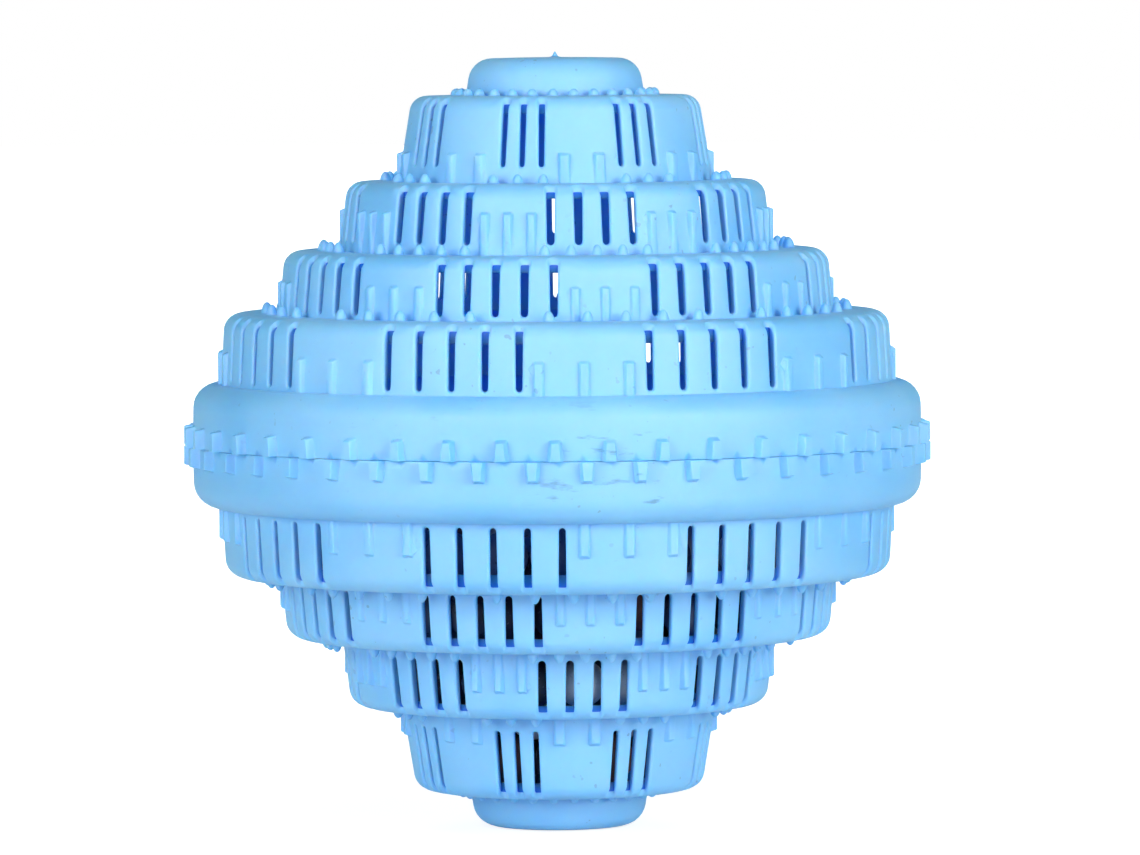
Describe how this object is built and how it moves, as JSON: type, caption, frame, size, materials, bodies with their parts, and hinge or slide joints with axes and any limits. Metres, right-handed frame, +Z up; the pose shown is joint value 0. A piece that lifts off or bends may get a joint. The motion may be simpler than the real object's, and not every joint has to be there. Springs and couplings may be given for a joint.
{
  "type": "laundry ball",
  "caption": "Stepped, slotted laundry ball of soft blue plastic: two equal half shells pushed together at a ribbed band, holding loose ceramic balls.",
  "frame": {"origin": "middle of the flat foot of the lower end cap, where the ball stands", "axes": "+Z up along the ball's axis through both end caps, -Y to the front, +X to the right"},
  "size_m": [0.1046, 0.1046, 0.1078],
  "materials": {
    "blue_plastic": "soft matte, slightly waxy",
    "white_ceramic": "matte, fired",
    "grey_ceramic": "matte, fired",
    "brown_ceramic": "matte, fired",
    "black_ceramic": "matte, fired"
  },
  "bodies": {
    "lower_half": {"lower_half_band": "blue_plastic", "lower_half_step_1": "blue_plastic", "lower_half_step_2": "blue_plastic", "lower_half_step_3": "blue_plastic", "lower_half_end": "blue_plastic"},
    "upper_half": {"upper_half_band": "blue_plastic", "upper_half_step_1": "blue_plastic", "upper_half_step_2": "blue_plastic", "upper_half_step_3": "blue_plastic", "upper_half_end": "blue_plastic"},
    "ball_charge": {"ceramic_ball_white_01": "white_ceramic", "ceramic_ball_white_02": "white_ceramic", "ceramic_ball_white_03": "white_ceramic", "ceramic_ball_white_04": "white_ceramic", "ceramic_ball_white_05": "white_ceramic", "ceramic_ball_white_06": "white_ceramic", "ceramic_ball_white_07": "white_ceramic", "ceramic_ball_white_08": "white_ceramic", "ceramic_ball_white_09": "white_ceramic", "ceramic_ball_white_10": "white_ceramic", "ceramic_ball_white_11": "white_ceramic", "ceramic_ball_grey_01": "grey_ceramic", "ceramic_ball_grey_02": "grey_ceramic", "ceramic_ball_grey_03": "grey_ceramic", "ceramic_ball_grey_04": "grey_ceramic", "ceramic_ball_grey_05": "grey_ceramic", "ceramic_ball_grey_06": "grey_ceramic", "ceramic_ball_grey_07": "grey_ceramic", "ceramic_ball_grey_08": "grey_ceramic", "ceramic_ball_grey_09": "grey_ceramic", "ceramic_ball_grey_10": "grey_ceramic", "ceramic_ball_grey_11": "grey_ceramic", "ceramic_ball_brown_01": "brown_ceramic", "ceramic_ball_brown_02": "brown_ceramic", "ceramic_ball_brown_03": "brown_ceramic", "ceramic_ball_brown_04": "brown_ceramic", "ceramic_ball_brown_05": "brown_ceramic", "ceramic_ball_brown_06": "brown_ceramic", "ceramic_ball_brown_07": "brown_ceramic", "ceramic_ball_brown_08": "brown_ceramic", "ceramic_ball_brown_09": "brown_ceramic", "ceramic_ball_brown_10": "brown_ceramic", "ceramic_ball_brown_11": "brown_ceramic", "ceramic_ball_black_01": "black_ceramic", "ceramic_ball_black_02": "black_ceramic", "ceramic_ball_black_03": "black_ceramic", "ceramic_ball_black_04": "black_ceramic", "ceramic_ball_black_05": "black_ceramic", "ceramic_ball_black_06": "black_ceramic", "ceramic_ball_black_07": "black_ceramic", "ceramic_ball_black_08": "black_ceramic", "ceramic_ball_black_09": "black_ceramic", "ceramic_ball_black_10": "black_ceramic", "ceramic_ball_black_11": "black_ceramic"}
  },
  "joints": [
    {"name": "pull_apart", "type": "slide", "parent": "lower_half", "child": "upper_half", "axis": [0, 0, 1], "range_m": [0, 0.07]},
    {"name": "charge_lift", "type": "slide", "parent": "lower_half", "child": "ball_charge", "axis": [0, 0, 1], "range_m": [0, 0.024]}
  ]
}
